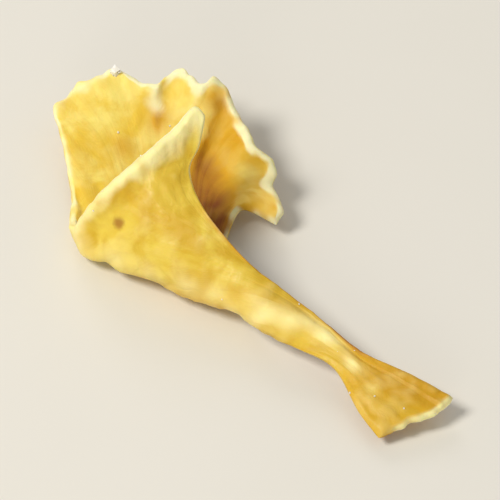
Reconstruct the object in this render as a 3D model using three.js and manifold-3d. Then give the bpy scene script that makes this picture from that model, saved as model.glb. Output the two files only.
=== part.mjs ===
// Irish moss flake: one dried, rolled piece of frond, resting on its folded lower side.
// A narrow stem rises from a torn foot and widens to a fan. The fan is rolled into an open cup: a front
// wall, a fold along the lower left, a back wall with a notched crown, and a frilled lobe on the right.
// Units are millimetres, +Z is up, and the flake rests on the plane z = 0.
import * as THREE from "three";
import { mergeVertices } from "three/addons/utils/BufferGeometryUtils.js";
import Module from "manifold-3d";

const wasm = await Module();
wasm.setup();

// Driving dimensions
const BLADE_THICKNESS = 0.6;
const DRAWING_TILT_DEG = 46;
const REST_TURN_X_DEG = -1.5;
const REST_TURN_Y_DEG = 1.5;
const WORN_FLAT_DEPTH = 0.08;
const SMALLEST_EDGE = 0.003;
const EASING_PASSES = 8;
const ROWS_ALONG = 30;
const COLUMNS_ACROSS = 76;

// The inner face of the blade, drawn as an eye 46 degrees above the table sees it. Each row runs across the
// blade from the right edge of the front wall, round the lower fold, to the free edge of the back wall.
// A point is [place across the blade 0..1, across the drawing, up the drawing, away from the eye].
const FOOT_END = [
  [0, 7.9, -4.35, -4.45],
  [0.5, 6.9, -5.0, -4.8],
  [1, 5.55, -5.6, -5.05],
];
const FOOT_MIDDLE = [
  [0, 6.4, -3.6, -4.05],
  [0.5, 5.72, -4.15, -4.3],
  [1, 4.95, -4.82, -4.6],
];
const NECK = [
  [0, 5.0, -3.0, -3.4],
  [0.5, 4.7, -3.26, -3.52],
  [1, 4.33, -3.58, -3.65],
];
const STEM = [
  [0, 3.68, -2.02, -2.85],
  [0.5, 3.64, -2.4, -3.05],
  [1, 3.5, -2.82, -3.05],
];
const FAN_START = [
  [0, 1.93, -0.75, -2.3],
  [0.25, 1.84, -1.02, -2.5],
  [0.55, 1.76, -1.34, -2.52],
  [0.8, 1.8, -1.42, -2.38],
  [1, 2.02, -1.46, -2.12],
];
const FAN_LOWER = [
  [0, 0.36, 1.1, -1.7],
  [0.2, -0.06, 0.22, -1.85],
  [0.34, -0.35, -0.35, -1.55],
  [0.42, -0.42, -0.55, -1.2],
  [0.52, -0.3, -0.5, -0.9],
  [0.75, 0.1, -0.1, -0.52],
  [0.9, 0.45, 0.0, -0.42],
  [1, 0.95, 0.1, -0.38],
];
const FAN_MIDDLE = [
  [0, -0.36, 2.58, -1.1],
  [0.12, -1.2, 1.5, -1.45],
  [0.24, -2.0, 0.5, -1.05],
  [0.31, -2.35, 0.15, -0.45],
  [0.4, -2.25, 0.65, 0.15],
  [0.53, -1.6, 1.6, 1.05],
  [0.64, -0.9, 2.3, 1.7],
  [0.71, -0.3, 2.55, 1.88],
  [0.83, 0.2, 2.3, 1.65],
  [0.92, 0.5, 1.65, 1.08],
  [1, 0.72, 0.95, 0.42],
];
const FAN_UPPER = [
  [0, -0.15, 3.55, -0.9],
  [0.11, -1.5, 2.52, -1.15],
  [0.18, -2.45, 1.55, -0.85],
  [0.245, -3.2, 0.48, 0.0],
  [0.32, -3.35, 1.4, 0.78],
  [0.43, -3.15, 3.2, 2.1],
  [0.53, -2.3, 4.2, 2.75],
  [0.6, -1.4, 4.4, 2.75],
  [0.65, -0.75, 4.5, 2.55],
  [0.69, -0.1, 4.4, 2.1],
  [0.77, 0.5, 3.8, 2.1],
  [0.85, 1.1, 3.0, 1.6],
  [0.93, 1.45, 2.32, 1.1],
  [1, 1.18, 1.8, 0.72],
];
const TORN_RIM = [
  [0, 0, 4.5, -0.95],
  [0.018, -0.24, 4.84, -1],
  [0.038, -0.55, 4.66, -1.1],
  [0.06, -0.88, 4.22, -1.25],
  [0.11, -1.75, 3.4, -1.45],
  [0.165, -2.85, 2.45, -1.15],
  [0.2, -3.4, 1.75, -0.62],
  [0.225, -3.7, 1.2, 0.0],
  [0.25, -3.85, 1.4, 0.5],
  [0.29, -3.85, 2.0, 1.1],
  [0.32, -4.05, 2.66, 1.6],
  [0.36, -4.25, 3.58, 2.15],
  [0.4, -4.45, 4.38, 2.6],
  [0.43, -4.65, 4.95, 2.85],
  [0.46, -4.43, 5.3, 3.0],
  [0.49, -3.88, 5.7, 3.15],
  [0.52, -3.23, 5.98, 3.15],
  [0.545, -2.65, 6.12, 3.2],
  [0.56, -2.31, 5.9, 3.05],
  [0.58, -1.85, 5.66, 2.8],
  [0.595, -1.46, 5.58, 2.65],
  [0.615, -1.16, 5.92, 2.8],
  [0.635, -0.72, 6.1, 2.7],
  [0.655, -0.35, 5.82, 2.3],
  [0.675, -0.05, 5.62, 2.05],
  [0.695, 0.32, 5.92, 2.1],
  [0.72, 0.65, 5.72, 2.15],
  [0.75, 0.94, 5.0, 1.95],
  [0.78, 1.13, 4.42, 1.6],
  [0.81, 1.33, 3.92, 1.35],
  [0.84, 1.65, 3.45, 0.95],
  [0.865, 2.1, 3.12, 0.8],
  [0.89, 2.24, 2.85, 0.72],
  [0.92, 2.16, 2.48, 0.78],
  [0.95, 2.4, 2.0, 0.5],
  [0.98, 2.54, 1.6, 0.35],
  [1, 2.32, 1.28, 0.35],
];

// Each row with its place along the blade, from the foot (0) to the torn rim (1).
const BLADE_ROWS = [
  [0, FOOT_END],
  [0.07, FOOT_MIDDLE],
  [0.15, NECK],
  [0.24, STEM],
  [0.37, FAN_START],
  [0.52, FAN_LOWER],
  [0.68, FAN_MIDDLE],
  [0.84, FAN_UPPER],
  [1, TORN_RIM],
];

// Slopes of a smooth curve at its keys, for unevenly spaced keys.
function slopesAt(keys, points) {
  const last = keys.length - 1;
  const gaps = keys.slice(1).map((key, i) => key - keys[i]);
  const chords = gaps.map((gap, i) => points[i + 1].clone().sub(points[i]).divideScalar(gap));
  return keys.map((_, i) => {
    if (i === 0) return chords[0].clone();
    if (i === last) return chords[last - 1].clone();
    const before = chords[i - 1].clone().multiplyScalar(gaps[i]);
    const after = chords[i].clone().multiplyScalar(gaps[i - 1]);
    return before.add(after).divideScalar(gaps[i - 1] + gaps[i]);
  });
}

// A smooth curve through the points, as a function of the key.
function smoothCurve(keys, points) {
  const slopes = slopesAt(keys, points);
  return (at) => {
    let i = 0;
    while (i < keys.length - 2 && at > keys[i + 1]) i += 1;
    const gap = keys[i + 1] - keys[i];
    const f = (at - keys[i]) / gap;
    const f2 = f * f;
    const f3 = f2 * f;
    return new THREE.Vector3()
      .addScaledVector(points[i], 2 * f3 - 3 * f2 + 1)
      .addScaledVector(slopes[i], (f3 - 2 * f2 + f) * gap)
      .addScaledVector(points[i + 1], 3 * f2 - 2 * f3)
      .addScaledVector(slopes[i + 1], (f3 - f2) * gap);
  };
}

// From the drawing to the table: the drawing leans back by the tilt of the eye, then the flake settles.
function onTable(drawn) {
  const tilt = THREE.MathUtils.degToRad(DRAWING_TILT_DEG);
  const rest = new THREE.Euler(
    THREE.MathUtils.degToRad(REST_TURN_X_DEG),
    THREE.MathUtils.degToRad(REST_TURN_Y_DEG),
    0,
  );
  const y = drawn.y * Math.sin(tilt) + drawn.z * Math.cos(tilt);
  const z = drawn.y * Math.cos(tilt) - drawn.z * Math.sin(tilt);
  return new THREE.Vector3(drawn.x, y, z).applyEuler(rest);
}

// The inner face as a grid of points, row by row from the foot to the rim.
function innerFace() {
  const rowCurves = BLADE_ROWS.map(([, row]) =>
    smoothCurve(
      row.map((point) => point[0]),
      row.map((point) => new THREE.Vector3(point[1], point[2], point[3])),
    ),
  );
  const rowKeys = BLADE_ROWS.map(([key]) => key);
  const grid = Array.from({ length: ROWS_ALONG }, () => []);
  for (let column = 0; column < COLUMNS_ACROSS; column += 1) {
    const across = column / (COLUMNS_ACROSS - 1);
    const along = smoothCurve(
      rowKeys,
      rowCurves.map((curve) => curve(across)),
    );
    for (let row = 0; row < ROWS_ALONG; row += 1) grid[row].push(onTable(along(row / (ROWS_ALONG - 1))));
  }
  return grid;
}

// Triangles of one grid cell, cut along its shorter diagonal and facing out of the cup.
function cellTriangles(grid, row, column) {
  const a = row * COLUMNS_ACROSS + column;
  const b = a + 1;
  const c = b + COLUMNS_ACROSS;
  const d = a + COLUMNS_ACROSS;
  const rising = grid[row][column].distanceTo(grid[row + 1][column + 1]);
  const falling = grid[row][column + 1].distanceTo(grid[row + 1][column]);
  return rising <= falling
    ? [
        [a, c, b],
        [a, d, c],
      ]
    : [
        [a, d, b],
        [b, d, c],
      ];
}

// Direction out of the cup at each grid point.
function outwardDirections(points, triangles) {
  const face = new THREE.BufferGeometry();
  face.setAttribute("position", new THREE.Float32BufferAttribute(points.flatMap((p) => p.toArray()), 3));
  face.setIndex(triangles.flat());
  face.computeVertexNormals();
  const normals = face.getAttribute("normal");
  let directions = points.map((_, i) => new THREE.Vector3().fromBufferAttribute(normals, i));
  for (let pass = 0; pass < EASING_PASSES; pass += 1) directions = easedDirections(directions);
  return directions;
}

// Each direction drawn towards those of its neighbours, so that the outer face doesn't bunch in a fold.
function easedDirections(directions) {
  return directions.map((direction, i) => {
    const column = i % COLUMNS_ACROSS;
    const row = (i - column) / COLUMNS_ACROSS;
    const sum = direction.clone();
    if (row > 0) sum.add(directions[i - COLUMNS_ACROSS]);
    if (row < ROWS_ALONG - 1) sum.add(directions[i + COLUMNS_ACROSS]);
    if (column > 0) sum.add(directions[i - 1]);
    if (column < COLUMNS_ACROSS - 1) sum.add(directions[i + 1]);
    return sum.normalize();
  });
}

// The closed blade: the inner face, the outer face one thickness further out, and the torn edge between.
function bladeGeometry() {
  const grid = innerFace();
  const points = grid.flat();
  const triangles = [];
  for (let row = 0; row < ROWS_ALONG - 1; row += 1)
    for (let column = 0; column < COLUMNS_ACROSS - 1; column += 1)
      triangles.push(...cellTriangles(grid, row, column));
  const outward = outwardDirections(points, triangles);
  const outer = points.map((point, i) => point.clone().addScaledVector(outward[i], BLADE_THICKNESS));
  const count = points.length;
  const faces = [];
  for (const [a, b, c] of triangles) faces.push([a, c, b], [a + count, b + count, c + count]);
  const border = [];
  const lastRow = ROWS_ALONG - 1;
  const lastColumn = COLUMNS_ACROSS - 1;
  for (let column = 0; column <= lastColumn; column += 1) border.push(column);
  for (let row = 1; row <= lastRow; row += 1) border.push(row * COLUMNS_ACROSS + lastColumn);
  for (let column = lastColumn - 1; column >= 0; column -= 1) border.push(lastRow * COLUMNS_ACROSS + column);
  for (let row = lastRow - 1; row >= 1; row -= 1) border.push(row * COLUMNS_ACROSS);
  border.forEach((p, i) => {
    const q = border[(i + 1) % border.length];
    faces.push([p, q + count, q], [p, p + count, q + count]);
  });
  const geometry = new THREE.BufferGeometry();
  const all = [...points, ...outer];
  geometry.setAttribute("position", new THREE.Float32BufferAttribute(all.flatMap((p) => p.toArray()), 3));
  geometry.setIndex(faces.flat());
  return geometry;
}

function toSolid(geometry) {
  return new wasm.Manifold(
    new wasm.Mesh({
      numProp: 3,
      vertProperties: new Float32Array(geometry.getAttribute("position").array),
      triVerts: new Uint32Array(geometry.getIndex().array),
    }),
  );
}

function toGeometry(solid) {
  const mesh = solid.getMesh();
  const geometry = new THREE.BufferGeometry();
  geometry.setAttribute("position", new THREE.Float32BufferAttribute(mesh.vertProperties, 3));
  geometry.setIndex(Array.from(mesh.triVerts));
  return mergeVertices(geometry);
}

// Set the blade down so that its low places are worn flat by the table, and centre it.
function settledSolid() {
  const blade = toSolid(bladeGeometry());
  const box = blade.boundingBox();
  const middle = [(box.min[0] + box.max[0]) / 2, (box.min[1] + box.max[1]) / 2];
  const placed = blade.translate([-middle[0], -middle[1], -box.min[2] - WORN_FLAT_DEPTH]);
  return placed.trimByPlane([0, 0, 1], 0).simplify(SMALLEST_EDGE);
}

const flakeMaterial = new THREE.MeshStandardMaterial({ color: 0xe0b84a, roughness: 0.42, metalness: 0 });
const flake = new THREE.Mesh(toGeometry(settledSolid()), flakeMaterial);
flake.name = "flake";

const irishMossFlake = new THREE.Group();
irishMossFlake.name = "irish_moss_flake";
irishMossFlake.add(flake);

export default irishMossFlake;
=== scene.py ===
"""One dried flake of Irish moss: a fan of seaweed folded over its stem into a shallow cup.

The flake is drawn as nine rows of points across the blade, from the torn foot to the torn rim. Lengths
in the classes are in millimetres, and a mesh goes to Blender in metres.
"""

import logging
import math
from dataclasses import dataclass, field, replace
from enum import Enum

import bpy
import numpy as np
from bpy.types import Material, Mesh, Node, NodeSocket, NodeTree, Object
from mathutils import Matrix, Vector


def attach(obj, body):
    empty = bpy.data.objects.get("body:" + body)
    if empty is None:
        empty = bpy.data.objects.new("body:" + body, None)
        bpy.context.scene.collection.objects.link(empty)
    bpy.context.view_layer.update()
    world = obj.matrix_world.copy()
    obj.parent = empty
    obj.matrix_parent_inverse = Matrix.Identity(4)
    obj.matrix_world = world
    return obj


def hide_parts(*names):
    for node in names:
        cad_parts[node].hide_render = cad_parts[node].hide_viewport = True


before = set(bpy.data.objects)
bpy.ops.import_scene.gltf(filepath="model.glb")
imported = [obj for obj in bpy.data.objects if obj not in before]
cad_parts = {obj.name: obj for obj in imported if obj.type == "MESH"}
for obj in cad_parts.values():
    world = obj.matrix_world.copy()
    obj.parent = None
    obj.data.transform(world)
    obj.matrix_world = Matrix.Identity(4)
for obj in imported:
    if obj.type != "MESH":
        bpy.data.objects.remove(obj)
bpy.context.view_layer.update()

MM = 0.001
MARK_SPAN_ALONG = 0.2
MARK_SPAN_ACROSS = 0.14
FAR_OFF = 99.0
log = logging.getLogger("irish_moss_flake")

Row = tuple[tuple[float, float, float, float], ...]
Profile = tuple[tuple[float, float], ...]


class Side(Enum):
    """The two faces of the blade."""

    OUTER = "outer"
    INNER = "inner"


# Inner face of the blade, one row after another from the foot to the rim. A point is its place across
# the row (0 to 1), then its distance to the right, up and away from the eye.
FOOT_END: Row = ((0, 7.9, -4.35, -4.45), (0.5, 6.9, -5.0, -4.8), (1, 5.55, -5.6, -5.05))
FOOT_MIDDLE: Row = ((0, 6.4, -3.6, -4.05), (0.5, 5.72, -4.15, -4.3), (1, 4.95, -4.82, -4.6))
NECK: Row = ((0, 5.0, -3.0, -3.4), (0.5, 4.7, -3.26, -3.52), (1, 4.33, -3.58, -3.65))
STEM: Row = ((0, 3.68, -2.02, -2.85), (0.5, 3.64, -2.4, -3.05), (1, 3.5, -2.82, -3.05))
FAN_START: Row = (
    (0, 1.93, -0.75, -2.3), (0.25, 1.84, -1.02, -2.5), (0.55, 1.76, -1.34, -2.52),
    (0.8, 1.8, -1.42, -2.38), (1, 2.02, -1.46, -2.12),
)
FAN_LOWER: Row = (
    (0, 0.36, 1.1, -1.7), (0.2, -0.06, 0.22, -1.85), (0.34, -0.35, -0.35, -1.55),
    (0.42, -0.42, -0.55, -1.2), (0.52, -0.3, -0.5, -0.9), (0.75, 0.1, -0.1, -0.52),
    (0.9, 0.45, 0, -0.42), (1, 0.95, 0.1, -0.38),
)
FAN_MIDDLE: Row = (
    (0, -0.36, 2.58, -1.1), (0.12, -1.2, 1.5, -1.45), (0.24, -2.0, 0.5, -1.05),
    (0.31, -2.35, 0.15, -0.45), (0.4, -2.25, 0.65, 0.15), (0.53, -1.6, 1.6, 1.05),
    (0.64, -0.9, 2.3, 1.7), (0.71, -0.3, 2.55, 1.88), (0.83, 0.2, 2.3, 1.65), (0.92, 0.5, 1.65, 1.08),
    (1, 0.72, 0.95, 0.42),
)
FAN_UPPER: Row = (
    (0, -0.15, 3.55, -0.9), (0.11, -1.5, 2.52, -1.15), (0.18, -2.45, 1.55, -0.85),
    (0.245, -3.2, 0.48, 0), (0.32, -3.35, 1.4, 0.78), (0.43, -3.15, 3.2, 2.1), (0.53, -2.3, 4.2, 2.75),
    (0.6, -1.4, 4.4, 2.75), (0.65, -0.75, 4.5, 2.55), (0.69, -0.1, 4.4, 2.1), (0.77, 0.5, 3.8, 2.1),
    (0.85, 1.1, 3.0, 1.6), (0.93, 1.45, 2.32, 1.1), (1, 1.18, 1.8, 0.72),
)
TORN_RIM: Row = (
    (0, 0, 4.5, -0.95), (0.018, -0.24, 4.84, -1), (0.038, -0.55, 4.66, -1.1),
    (0.06, -0.88, 4.22, -1.25), (0.11, -1.75, 3.4, -1.45), (0.165, -2.85, 2.45, -1.15),
    (0.2, -3.4, 1.75, -0.62), (0.225, -3.7, 1.2, 0), (0.25, -3.85, 1.4, 0.5), (0.29, -3.85, 2.0, 1.1),
    (0.32, -4.05, 2.66, 1.6), (0.36, -4.25, 3.58, 2.15), (0.4, -4.45, 4.38, 2.6),
    (0.43, -4.65, 4.95, 2.85), (0.46, -4.43, 5.3, 3.0), (0.49, -3.88, 5.7, 3.15),
    (0.52, -3.23, 5.98, 3.15), (0.545, -2.65, 6.12, 3.2), (0.56, -2.31, 5.9, 3.05),
    (0.58, -1.85, 5.66, 2.8), (0.595, -1.46, 5.58, 2.65), (0.615, -1.16, 5.92, 2.8),
    (0.635, -0.72, 6.1, 2.7), (0.655, -0.35, 5.82, 2.3), (0.675, -0.05, 5.62, 2.05),
    (0.695, 0.32, 5.92, 2.1), (0.72, 0.65, 5.72, 2.15), (0.75, 0.94, 5.0, 1.95),
    (0.78, 1.13, 4.42, 1.6), (0.81, 1.33, 3.92, 1.35), (0.84, 1.65, 3.45, 0.95),
    (0.865, 2.1, 3.12, 0.8), (0.89, 2.24, 2.85, 0.72), (0.92, 2.16, 2.48, 0.78), (0.95, 2.4, 2.0, 0.5),
    (0.98, 2.54, 1.6, 0.35), (1, 2.32, 1.28, 0.35),
)
BLADE_ROWS: tuple[tuple[float, Row], ...] = (
    (0, FOOT_END),
    (0.07, FOOT_MIDDLE),
    (0.15, NECK),
    (0.24, STEM),
    (0.37, FAN_START),
    (0.52, FAN_LOWER),
    (0.68, FAN_MIDDLE),
    (0.84, FAN_UPPER),
    (1, TORN_RIM),
)


def smooth_curve(keys: np.ndarray, values: np.ndarray, at: np.ndarray) -> np.ndarray:
    """Reads a smooth curve through values that stand at unevenly spaced keys.

    Args:
        keys: Rising keys, one for each value.
        values: Values at the keys, one row each.
        at: Keys to read the curve at.

    Returns:
        The curve's values, one row for each key in at.
    """
    gaps = np.diff(keys)
    chords = np.diff(values, axis=0) / gaps[:, None]
    slopes = np.concatenate([chords[:1], chords[:1].repeat(len(keys) - 2, axis=0), chords[-1:]])
    before = chords[:-1] * gaps[1:, None]
    after = chords[1:] * gaps[:-1, None]
    slopes[1:-1] = (before + after) / (gaps[:-1] + gaps[1:])[:, None]
    span = np.clip(np.searchsorted(keys, at, side="right") - 1, 0, len(keys) - 2)
    gap = gaps[span][:, None]
    f = ((at - keys[span]) / gaps[span])[:, None]
    start = (2 * f**3 - 3 * f**2 + 1) * values[span]
    leave = (f**3 - 2 * f**2 + f) * gap * slopes[span]
    end = (3 * f**2 - 2 * f**3) * values[span + 1]
    arrive = (f**3 - f**2) * gap * slopes[span + 1]
    return start + leave + end + arrive


def smooth_step(low: float, high: float, value: np.ndarray) -> np.ndarray:
    """Rises softly from 0 at low to 1 at high, or falls where high is under low."""
    f = np.clip((value - low) / (high - low), 0, 1)
    return f * f * (3 - 2 * f)


def read_profile(profile: Profile, across: np.ndarray) -> np.ndarray:
    """Reads a size that changes across the blade, on straight lines between its given places."""
    places, values = zip(*profile)
    return np.interp(across, places, values)


def unit(vectors: np.ndarray) -> np.ndarray:
    """Scales each vector to length 1."""
    return vectors / (np.linalg.norm(vectors, axis=-1, keepdims=True) + 1e-12)


def lengths_along(points: np.ndarray, axis: int) -> np.ndarray:
    """Walks a grid along one of its axes.

    Args:
        points: Points, with the coordinates last.
        axis: The axis walked.

    Returns:
        The length from the first point to each point.
    """
    steps = np.linalg.norm(np.diff(points, axis=axis), axis=-1)
    start = np.zeros_like(np.take(steps, [0], axis=axis))
    return np.concatenate([start, np.cumsum(steps, axis=axis)], axis=axis)


def linear_rgb(code: str) -> tuple[float, float, float, float]:
    """Turns a colour code into the shader's linear colour.

    Args:
        code: Red, green and blue, such as e5c050.

    Returns:
        The linear colour, opaque.
    """
    parts = [int(code[i : i + 2], 16) / 255 for i in (0, 2, 4)]
    r, g, b = (p / 12.92 if p <= 0.04045 else ((p + 0.055) / 1.055) ** 2.4 for p in parts)
    return (r, g, b, 1.0)


def read_vertices(mesh: Mesh, what: str) -> np.ndarray:
    """Reads a vector of each vertex.

    Args:
        mesh: The mesh.
        what: Its co or its normal.

    Returns:
        The vectors, one row each.
    """
    values = np.zeros(len(mesh.vertices) * 3)
    mesh.vertices.foreach_get(what, values)
    return values.reshape(-1, 3)


def new_mesh(name: str, points: list, faces: list, *skins: Material) -> Mesh:
    """Makes a mesh in its materials.

    Args:
        name: The mesh's name.
        points: Its points, in metres.
        faces: The numbers of each face's points.
        skins: Its materials.

    Returns:
        The mesh.
    """
    mesh = bpy.data.meshes.new(name)
    mesh.from_pydata(points, [], faces)
    for skin in skins:
        mesh.materials.append(skin)
    return mesh


def put_in_scene(name: str, data: bpy.types.ID) -> Object:
    """Puts a mesh, lamp or camera in the scene.

    Args:
        name: The object's name.
        data: What it shows.

    Returns:
        The object.
    """
    made = bpy.data.objects.new(name, data)
    bpy.context.scene.collection.objects.link(made)
    return made


@dataclass(frozen=True)
class Waviness:
    """Smooth random waves in space, the same each time for one seed.

    The waves have a spread of about 1, between the shortest and the longest wave length in millimetres.
    """

    seed: int
    shortest: float
    longest: float
    waves: int = 30

    def at(self, points: np.ndarray) -> np.ndarray:
        """Height of the waves at each point.

        Args:
            points: Places in millimetres, with the coordinates last.

        Returns:
            One height for each place.
        """
        rng = np.random.default_rng(self.seed)
        directions = unit(rng.normal(size=(self.waves, points.shape[-1])))
        spans = rng.uniform(self.shortest, self.longest, self.waves)
        phases = rng.uniform(0, 2 * math.pi, self.waves)
        total = np.zeros(points.shape[:-1])
        for direction, span, phase in zip(directions, spans, phases):
            total += np.sin(points @ direction * (2 * math.pi / span) + phase)
        return total / math.sqrt(self.waves / 2)


@dataclass
class FrondForm:
    """The drawn form of the blade, laid on the table as the frame's own blade is."""

    rows: tuple[tuple[float, Row], ...] = BLADE_ROWS
    drawing_tilt_deg: float = 46.0
    rest_turn_deg: tuple[float, float] = (-1.5, 1.5)
    frame_thickness: float = 0.6
    worn_flat_depth: float = 0.08
    net_rows: int = 30
    net_columns: int = 76
    easing_passes: int = 8
    dense_rows: int = 241
    dense_columns: int = 1001
    points: np.ndarray = field(init=False)
    outward: np.ndarray = field(init=False)

    def __post_init__(self) -> None:
        """Works out the dense inner face and the directions out of the cup."""
        net = self.inner_face(self.net_rows, self.net_columns)
        outward = self.eased_outward(net)
        outer = net + outward * self.frame_thickness
        both = np.concatenate([net.reshape(-1, 3), outer.reshape(-1, 3)])
        low, high = both.min(axis=0), both.max(axis=0)
        middle = (low + high) / 2
        shift = np.array([-middle[0], -middle[1], -low[2] - self.worn_flat_depth])
        self.points = self.inner_face(self.dense_rows, self.dense_columns) + shift
        across = self.refine(outward.transpose(1, 0, 2), self.dense_columns).transpose(1, 0, 2)
        self.outward = unit(self.refine(across, self.dense_rows))

    @staticmethod
    def refine(grid: np.ndarray, count: int) -> np.ndarray:
        """Reads a grid at more rows, on smooth curves through the ones that it has.

        Args:
            grid: Values by row and column.
            count: Number of rows wanted.

        Returns:
            The same values on count rows.
        """
        flat = grid.reshape(grid.shape[0], -1)
        fine = smooth_curve(np.linspace(0, 1, grid.shape[0]), flat, np.linspace(0, 1, count))
        return fine.reshape(count, *grid.shape[1:])

    def inner_face(self, rows: int, columns: int) -> np.ndarray:
        """The inner face as a grid of points on the table, before the blade is centred.

        Args:
            rows: Number of rows from foot to rim.
            columns: Number of columns across.

        Returns:
            Points by row and column.
        """
        across = np.linspace(0, 1, columns)
        curves = []
        for _, row in self.rows:
            drawn = np.array(row, dtype=float)
            curves.append(smooth_curve(drawn[:, 0], drawn[:, 1:], across).ravel())
        keys = np.array([key for key, _ in self.rows], dtype=float)
        drawn_grid = smooth_curve(keys, np.array(curves), np.linspace(0, 1, rows))
        return self.on_table(drawn_grid.reshape(rows, columns, 3))

    def on_table(self, drawn: np.ndarray) -> np.ndarray:
        """Lays drawn points back by the tilt of the eye and turns them as the flake settles.

        Args:
            drawn: Points to the right, up and away from the eye.

        Returns:
            The points in the frame's axes.
        """
        tilt = math.radians(self.drawing_tilt_deg)
        x, up, back = drawn[..., 0], drawn[..., 1], drawn[..., 2]
        y = up * math.sin(tilt) + back * math.cos(tilt)
        z = up * math.cos(tilt) - back * math.sin(tilt)
        turn_x, turn_y = (math.radians(angle) for angle in self.rest_turn_deg)
        rest = np.array(Matrix.Rotation(turn_x, 3, "X") @ Matrix.Rotation(turn_y, 3, "Y"))
        return np.stack([x, y, z], axis=-1) @ rest.T

    def eased_outward(self, net: np.ndarray) -> np.ndarray:
        """Direction out of the cup at each point of the net, eased so that it doesn't bunch in a fold.

        Args:
            net: Points by row and column.

        Returns:
            One direction of length 1 for each point.
        """
        normals = np.zeros_like(net)
        a, b, c, d = net[:-1, :-1], net[:-1, 1:], net[1:, 1:], net[1:, :-1]
        rising = (np.linalg.norm(a - c, axis=-1) <= np.linalg.norm(b - d, axis=-1))[..., None]
        abc, acd = np.cross(c - a, b - a), np.cross(d - a, c - a)
        abd, bcd = np.cross(d - a, b - a), np.cross(d - b, c - b)
        normals[:-1, :-1] += np.where(rising, abc + acd, abd)
        normals[:-1, 1:] += np.where(rising, abc, abd + bcd)
        normals[1:, 1:] += np.where(rising, abc + acd, bcd)
        normals[1:, :-1] += np.where(rising, acd, abd + bcd)
        directions = unit(normals)
        for _ in range(self.easing_passes):
            total = directions.copy()
            total[1:] += directions[:-1]
            total[:-1] += directions[1:]
            total[:, 1:] += directions[:, :-1]
            total[:, :-1] += directions[:, 1:]
            directions = unit(total)
        return directions

    def read(self, grid: np.ndarray, along: np.ndarray, across: np.ndarray) -> np.ndarray:
        """Reads a dense grid between its points.

        Args:
            grid: The dense points or directions.
            along: Places from foot to rim, 0 to 1.
            across: Places across the row, 0 to 1, in the same layout.

        Returns:
            The grid's values at those places.
        """
        row = np.clip(along, 0, 1) * (self.dense_rows - 1)
        column = np.clip(across, 0, 1) * (self.dense_columns - 1)
        i = np.minimum(row.astype(int), self.dense_rows - 2)
        j = np.minimum(column.astype(int), self.dense_columns - 2)
        f, g = (row - i)[..., None], (column - j)[..., None]
        near = grid[i, j] * (1 - g) + grid[i, j + 1] * g
        far = grid[i + 1, j] * (1 - g) + grid[i + 1, j + 1] * g
        return near * (1 - f) + far * f


@dataclass(frozen=True)
class Mark:
    """A place on one face of the blade, as shares of the way from foot to rim and across."""

    along: float
    across: float
    side: Side


@dataclass(frozen=True)
class Pit(Mark):
    """A small dark spot, sunk into the face where it has a depth."""

    radius: float
    depth: float = 0.0


@dataclass(frozen=True)
class TintAndLightSpot(Mark):
    """A soft round place where one face is a deeper gold, or paler where the strength is below 0.

    The list holds gold tone, painted shade by the folds and painted highlights.
    """

    reach: float
    strength: float


Outputs = bpy.types.bpy_prop_collection
Values = dict[str | int, object]
Wires = dict[str, NodeSocket]


class Bench:
    """The nodes of one material or effect, with the kinds of node that they use."""

    def __init__(self, tree: NodeTree) -> None:
        """Holds the node tree."""
        self.tree = tree

    @classmethod
    def for_material(cls, name: str) -> tuple[Material, "Bench", Node]:
        """Starts a material.

        Args:
            name: The material's name.

        Returns:
            The material, its nodes and its shader.
        """
        made = bpy.data.materials.new(name)
        made.use_nodes = True
        return made, cls(made.node_tree), made.node_tree.nodes["Principled BSDF"]

    def fill(self, node: Node, values: Values) -> None:
        """Links or sets inputs of a node.

        Args:
            node: The node.
            values: Output sockets or plain values, by the input's name or number.
        """
        for label, value in values.items():
            if isinstance(value, NodeSocket):
                self.tree.links.new(value, node.inputs[label])
            else:
                node.inputs[label].default_value = value

    def node(self, kind: str, values: Values, **settings: object) -> Outputs:
        """Adds a node.

        Args:
            kind: Its type, without ShaderNode in front.
            values: What goes into its inputs.
            settings: Its other settings.

        Returns:
            The node's outputs.
        """
        made = self.tree.nodes.new("ShaderNode" + kind)
        for name, setting in settings.items():
            setattr(made, name, setting)
        self.fill(made, values)
        return made.outputs

    def math(self, operation: str, *values: object) -> NodeSocket:
        """Result of a Math node, such as MULTIPLY."""
        return self.node("Math", dict(enumerate(values)), operation=operation)[0]

    def mixed(self, share: object, under: object, over: object) -> NodeSocket:
        """A share of one colour laid over another."""
        return self.node("Mix", {0: share, 6: under, 7: over}, data_type="RGBA")[2]

    def ranged(self, value: object, low: object, high: object) -> NodeSocket:
        """The value mapped softly from low..high to 0..1."""
        values = {"Value": value, "From Min": low, "From Max": high}
        return self.node("MapRange", values, interpolation_type="SMOOTHSTEP")["Result"]

    def noise(self, place: object, scale: object, detail: float, warp: float = 0) -> NodeSocket:
        """Noise of so many waves in a metre, with finer layers, bent by itself."""
        values = {"Vector": place, "Scale": scale, "Detail": detail, "Distortion": warp}
        return self.node("TexNoise", values)["Fac"]

    def bumped(self, height: object, strength: float, distance: float) -> NodeSocket:
        """Normal of a height, with the distance in millimetres."""
        values = {"Strength": strength, "Distance": distance * MM, "Height": height}
        return self.node("Bump", values)["Normal"]

    def place(self) -> NodeSocket:
        """The point's own place on its object."""
        return self.node("TexCoord", {})["Object"]


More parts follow.
